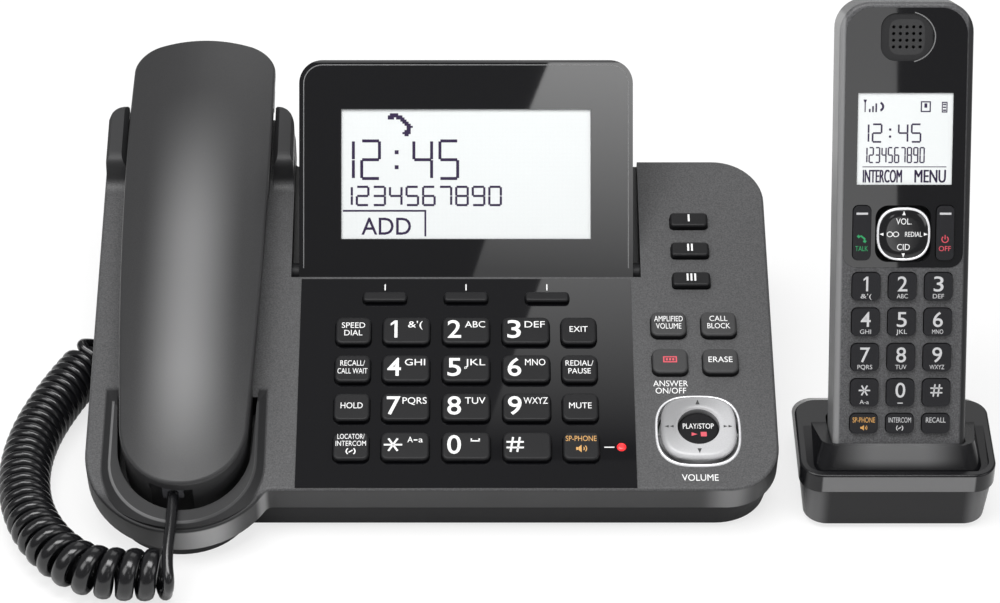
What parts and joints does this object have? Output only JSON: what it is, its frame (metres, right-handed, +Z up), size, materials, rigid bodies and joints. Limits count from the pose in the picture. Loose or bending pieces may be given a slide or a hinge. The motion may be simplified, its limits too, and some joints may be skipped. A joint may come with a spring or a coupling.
{
  "type": "answering machine",
  "caption": "Corded desk telephone with built-in answering machine, tilting display, curly-cord handset and a cordless handset standing in its own charger.",
  "frame": {"origin": "centre of the underside of the whole set without its cord, at desk height", "axes": "+X to the right along the set's width, +Y from the front edge to the rear, +Z up"},
  "size_m": [0.3688, 0.2464, 0.1726],
  "materials": {
    "cover_satin": "satin black moulded plastic",
    "case_black": "matt black moulded plastic",
    "panel_gloss": "high-gloss black panel",
    "key_black": "dark moulded key caps with printed white legends",
    "trim_silver": "bright silver plated ring",
    "key_silver": "light silver painted navigator with dark printed arrows",
    "key_gloss": "glossy black navigator with a thin plated edge",
    "charger_gloss": "glossy black moulded charger",
    "board_green": "green laminate",
    "speaker_steel": "pressed steel basket and magnet",
    "foot_rubber": "soft matt rubber",
    "screw_steel": "zinc-plated steel",
    "socket_black": "black moulded plastic",
    "cord_black": "glossy black vinyl",
    "plug_clear": "smoky clear plastic",
    "lcd_glass": "backlit display glass",
    "handset_black": "semi-gloss black plastic",
    "cordless_grey": "dark grey plastic with a fine metallic speckle",
    "mat_rubber": "moulded rubber keypad with printed white digits"
  },
  "bodies": {
    "base": {"base_bottom_case": "case_black", "base_top_cover": "cover_satin", "keypad_faceplate": "panel_gloss", "navigator_trim_ring": "trim_silver", "main_circuit_board": "board_green", "loudspeaker": "speaker_steel", "rubber_feet": "foot_rubber", "case_screws": "screw_steel", "rear_sockets": "socket_black", "curly_cord_coil": "cord_black", "curly_cord_leads": "cord_black", "base_cord_plug": "plug_clear", "charger_housing": "charger_gloss", "charger_bottom": "charger_gloss"},
    "display": {"display_front_bezel": "panel_gloss", "display_rear_cover": "case_black", "display_lcd_module": "lcd_glass"},
    "handset": {"handset_outer_shell": "handset_black", "handset_inner_shell": "handset_black", "handset_receiver": "speaker_steel", "handset_cord_plug": "plug_clear"},
    "hook_plunger": {"hook_switch_plunger": "cover_satin"},
    "cordless_handset": {"cordless_front_case": "cordless_grey", "cordless_back_case": "cordless_grey", "cordless_faceplate": "panel_gloss", "cordless_lcd": "lcd_glass", "cordless_keypad": "mat_rubber"},
    "cordless_navigator": {"cordless_navigator_key": "key_gloss"},
    "navigator": {"navigator_key": "key_silver"},
    "softkey_left_body": {"softkey_left": "key_black"},
    "softkey_middle_body": {"softkey_middle": "key_black"},
    "softkey_right_body": {"softkey_right": "key_black"},
    "dial_key_1_body": {"dial_key_1": "key_black"},
    "dial_key_2_body": {"dial_key_2": "key_black"},
    "dial_key_3_body": {"dial_key_3": "key_black"},
    "dial_key_4_body": {"dial_key_4": "key_black"},
    "dial_key_5_body": {"dial_key_5": "key_black"},
    "dial_key_6_body": {"dial_key_6": "key_black"},
    "dial_key_7_body": {"dial_key_7": "key_black"},
    "dial_key_8_body": {"dial_key_8": "key_black"},
    "dial_key_9_body": {"dial_key_9": "key_black"},
    "dial_key_star_body": {"dial_key_star": "key_black"},
    "dial_key_0_body": {"dial_key_0": "key_black"},
    "dial_key_hash_body": {"dial_key_hash": "key_black"},
    "speed_dial_key_body": {"speed_dial_key": "key_black"},
    "recall_key_body": {"recall_key": "key_black"},
    "hold_key_body": {"hold_key": "key_black"},
    "intercom_key_body": {"intercom_key": "key_black"},
    "exit_key_body": {"exit_key": "key_black"},
    "redial_key_body": {"redial_key": "key_black"},
    "mute_key_body": {"mute_key": "key_black"},
    "speakerphone_key_body": {"speakerphone_key": "key_black"},
    "one_touch_key_1_body": {"one_touch_key_1": "key_black"},
    "one_touch_key_2_body": {"one_touch_key_2": "key_black"},
    "one_touch_key_3_body": {"one_touch_key_3": "key_black"},
    "amplifier_key_body": {"amplifier_key": "key_black"},
    "call_block_key_body": {"call_block_key": "key_black"},
    "answer_key_body": {"answer_key": "key_black"},
    "erase_key_body": {"erase_key": "key_black"},
    "play_stop_key_body": {"play_stop_key": "key_black"}
  },
  "joints": [
    {"name": "display_tilt", "type": "hinge", "parent": "base", "child": "display", "pos_m": [-0.0271, 0.0101, 0.04049], "axis": [1, 0, 0], "range_deg": [-20, 8]},
    {"name": "handset_lift", "type": "slide", "parent": "base", "child": "handset", "axis": [0, -0.2419, 0.9703], "range_m": [0, 0.06]},
    {"name": "hook_plunger_slide", "type": "slide", "parent": "base", "child": "hook_plunger", "axis": [0, -0.2419, 0.9703], "range_m": [0, 0.004]},
    {"name": "cordless_lift", "type": "slide", "parent": "base", "child": "cordless_handset", "axis": [0, 0.5, 0.866], "range_m": [0, 0.06]},
    {"name": "cordless_navigator_press", "type": "slide", "parent": "cordless_handset", "child": "cordless_navigator", "axis": [0, 0.866, -0.5], "range_m": [0, 0.0008], "stiffness_N_per_m": 400, "springref_m": -0.0003},
    {"name": "navigator_rock", "type": "hinge", "parent": "base", "child": "navigator", "pos_m": [0.0588, -0.06707, 0.02552], "axis": [1, 0, 0], "range_deg": [-3, 3], "stiffness_Nm_per_rad": 0.4},
    {"name": "softkey_left_press", "type": "slide", "parent": "base", "child": "softkey_left_body", "axis": [0, 0.2419, -0.9703], "range_m": [0, 0.0013], "stiffness_N_per_m": 400, "springref_m": -0.0004},
    {"name": "softkey_middle_press", "type": "slide", "parent": "base", "child": "softkey_middle_body", "axis": [0, 0.2419, -0.9703], "range_m": [0, 0.0013], "stiffness_N_per_m": 400, "springref_m": -0.0004},
    {"name": "softkey_right_press", "type": "slide", "parent": "base", "child": "softkey_right_body", "axis": [0, 0.2419, -0.9703], "range_m": [0, 0.0013], "stiffness_N_per_m": 400, "springref_m": -0.0004},
    {"name": "dial_key_1_press", "type": "slide", "parent": "base", "child": "dial_key_1_body", "axis": [0, 0.2419, -0.9703], "range_m": [0, 0.0013], "stiffness_N_per_m": 400, "springref_m": -0.0004},
    {"name": "dial_key_2_press", "type": "slide", "parent": "base", "child": "dial_key_2_body", "axis": [0, 0.2419, -0.9703], "range_m": [0, 0.0013], "stiffness_N_per_m": 400, "springref_m": -0.0004},
    {"name": "dial_key_3_press", "type": "slide", "parent": "base", "child": "dial_key_3_body", "axis": [0, 0.2419, -0.9703], "range_m": [0, 0.0013], "stiffness_N_per_m": 400, "springref_m": -0.0004},
    {"name": "dial_key_4_press", "type": "slide", "parent": "base", "child": "dial_key_4_body", "axis": [0, 0.2419, -0.9703], "range_m": [0, 0.0013], "stiffness_N_per_m": 400, "springref_m": -0.0004},
    {"name": "dial_key_5_press", "type": "slide", "parent": "base", "child": "dial_key_5_body", "axis": [0, 0.2419, -0.9703], "range_m": [0, 0.0013], "stiffness_N_per_m": 400, "springref_m": -0.0004},
    {"name": "dial_key_6_press", "type": "slide", "parent": "base", "child": "dial_key_6_body", "axis": [0, 0.2419, -0.9703], "range_m": [0, 0.0013], "stiffness_N_per_m": 400, "springref_m": -0.0004},
    {"name": "dial_key_7_press", "type": "slide", "parent": "base", "child": "dial_key_7_body", "axis": [0, 0.2419, -0.9703], "range_m": [0, 0.0013], "stiffness_N_per_m": 400, "springref_m": -0.0004},
    {"name": "dial_key_8_press", "type": "slide", "parent": "base", "child": "dial_key_8_body", "axis": [0, 0.2419, -0.9703], "range_m": [0, 0.0013], "stiffness_N_per_m": 400, "springref_m": -0.0004},
    {"name": "dial_key_9_press", "type": "slide", "parent": "base", "child": "dial_key_9_body", "axis": [0, 0.2419, -0.9703], "range_m": [0, 0.0013], "stiffness_N_per_m": 400, "springref_m": -0.0004},
    {"name": "dial_key_star_press", "type": "slide", "parent": "base", "child": "dial_key_star_body", "axis": [0, 0.2419, -0.9703], "range_m": [0, 0.0013], "stiffness_N_per_m": 400, "springref_m": -0.0004},
    {"name": "dial_key_0_press", "type": "slide", "parent": "base", "child": "dial_key_0_body", "axis": [0, 0.2419, -0.9703], "range_m": [0, 0.0013], "stiffness_N_per_m": 400, "springref_m": -0.0004},
    {"name": "dial_key_hash_press", "type": "slide", "parent": "base", "child": "dial_key_hash_body", "axis": [0, 0.2419, -0.9703], "range_m": [0, 0.0013], "stiffness_N_per_m": 400, "springref_m": -0.0004},
    {"name": "speed_dial_key_press", "type": "slide", "parent": "base", "child": "speed_dial_key_body", "axis": [0, 0.2419, -0.9703], "range_m": [0, 0.0013], "stiffness_N_per_m": 400, "springref_m": -0.0004},
    {"name": "recall_key_press", "type": "slide", "parent": "base", "child": "recall_key_body", "axis": [0, 0.2419, -0.9703], "range_m": [0, 0.0013], "stiffness_N_per_m": 400, "springref_m": -0.0004},
    {"name": "hold_key_press", "type": "slide", "parent": "base", "child": "hold_key_body", "axis": [0, 0.2419, -0.9703], "range_m": [0, 0.0013], "stiffness_N_per_m": 400, "springref_m": -0.0004},
    {"name": "intercom_key_press", "type": "slide", "parent": "base", "child": "intercom_key_body", "axis": [0, 0.2419, -0.9703], "range_m": [0, 0.0013], "stiffness_N_per_m": 400, "springref_m": -0.0004},
    {"name": "exit_key_press", "type": "slide", "parent": "base", "child": "exit_key_body", "axis": [0, 0.2419, -0.9703], "range_m": [0, 0.0013], "stiffness_N_per_m": 400, "springref_m": -0.0004},
    {"name": "redial_key_press", "type": "slide", "parent": "base", "child": "redial_key_body", "axis": [0, 0.2419, -0.9703], "range_m": [0, 0.0013], "stiffness_N_per_m": 400, "springref_m": -0.0004},
    {"name": "mute_key_press", "type": "slide", "parent": "base", "child": "mute_key_body", "axis": [0, 0.2419, -0.9703], "range_m": [0, 0.0013], "stiffness_N_per_m": 400, "springref_m": -0.0004},
    {"name": "speakerphone_key_press", "type": "slide", "parent": "base", "child": "speakerphone_key_body", "axis": [0, 0.2419, -0.9703], "range_m": [0, 0.0013], "stiffness_N_per_m": 400, "springref_m": -0.0004},
    {"name": "one_touch_key_1_press", "type": "slide", "parent": "base", "child": "one_touch_key_1_body", "axis": [0, 0.2419, -0.9703], "range_m": [0, 0.0013], "stiffness_N_per_m": 400, "springref_m": -0.0004},
    {"name": "one_touch_key_2_press", "type": "slide", "parent": "base", "child": "one_touch_key_2_body", "axis": [0, 0.2419, -0.9703], "range_m": [0, 0.0013], "stiffness_N_per_m": 400, "springref_m": -0.0004},
    {"name": "one_touch_key_3_press", "type": "slide", "parent": "base", "child": "one_touch_key_3_body", "axis": [0, 0.2419, -0.9703], "range_m": [0, 0.0013], "stiffness_N_per_m": 400, "springref_m": -0.0004},
    {"name": "amplifier_key_press", "type": "slide", "parent": "base", "child": "amplifier_key_body", "axis": [0, 0.2419, -0.9703], "range_m": [0, 0.0013], "stiffness_N_per_m": 400, "springref_m": -0.0004},
    {"name": "call_block_key_press", "type": "slide", "parent": "base", "child": "call_block_key_body", "axis": [0, 0.2419, -0.9703], "range_m": [0, 0.0013], "stiffness_N_per_m": 400, "springref_m": -0.0004},
    {"name": "answer_key_press", "type": "slide", "parent": "base", "child": "answer_key_body", "axis": [0, 0.2419, -0.9703], "range_m": [0, 0.0013], "stiffness_N_per_m": 400, "springref_m": -0.0004},
    {"name": "erase_key_press", "type": "slide", "parent": "base", "child": "erase_key_body", "axis": [0, 0.2419, -0.9703], "range_m": [0, 0.0013], "stiffness_N_per_m": 400, "springref_m": -0.0004},
    {"name": "play_stop_key_press", "type": "slide", "parent": "navigator", "child": "play_stop_key_body", "axis": [0, 0.2419, -0.9703], "range_m": [0, 0.0008], "stiffness_N_per_m": 400, "springref_m": -0.0004}
  ],
  "couplings": [
    {"joint": "hook_plunger_slide", "follows": "handset_lift", "ratio": 0.066666}
  ]
}
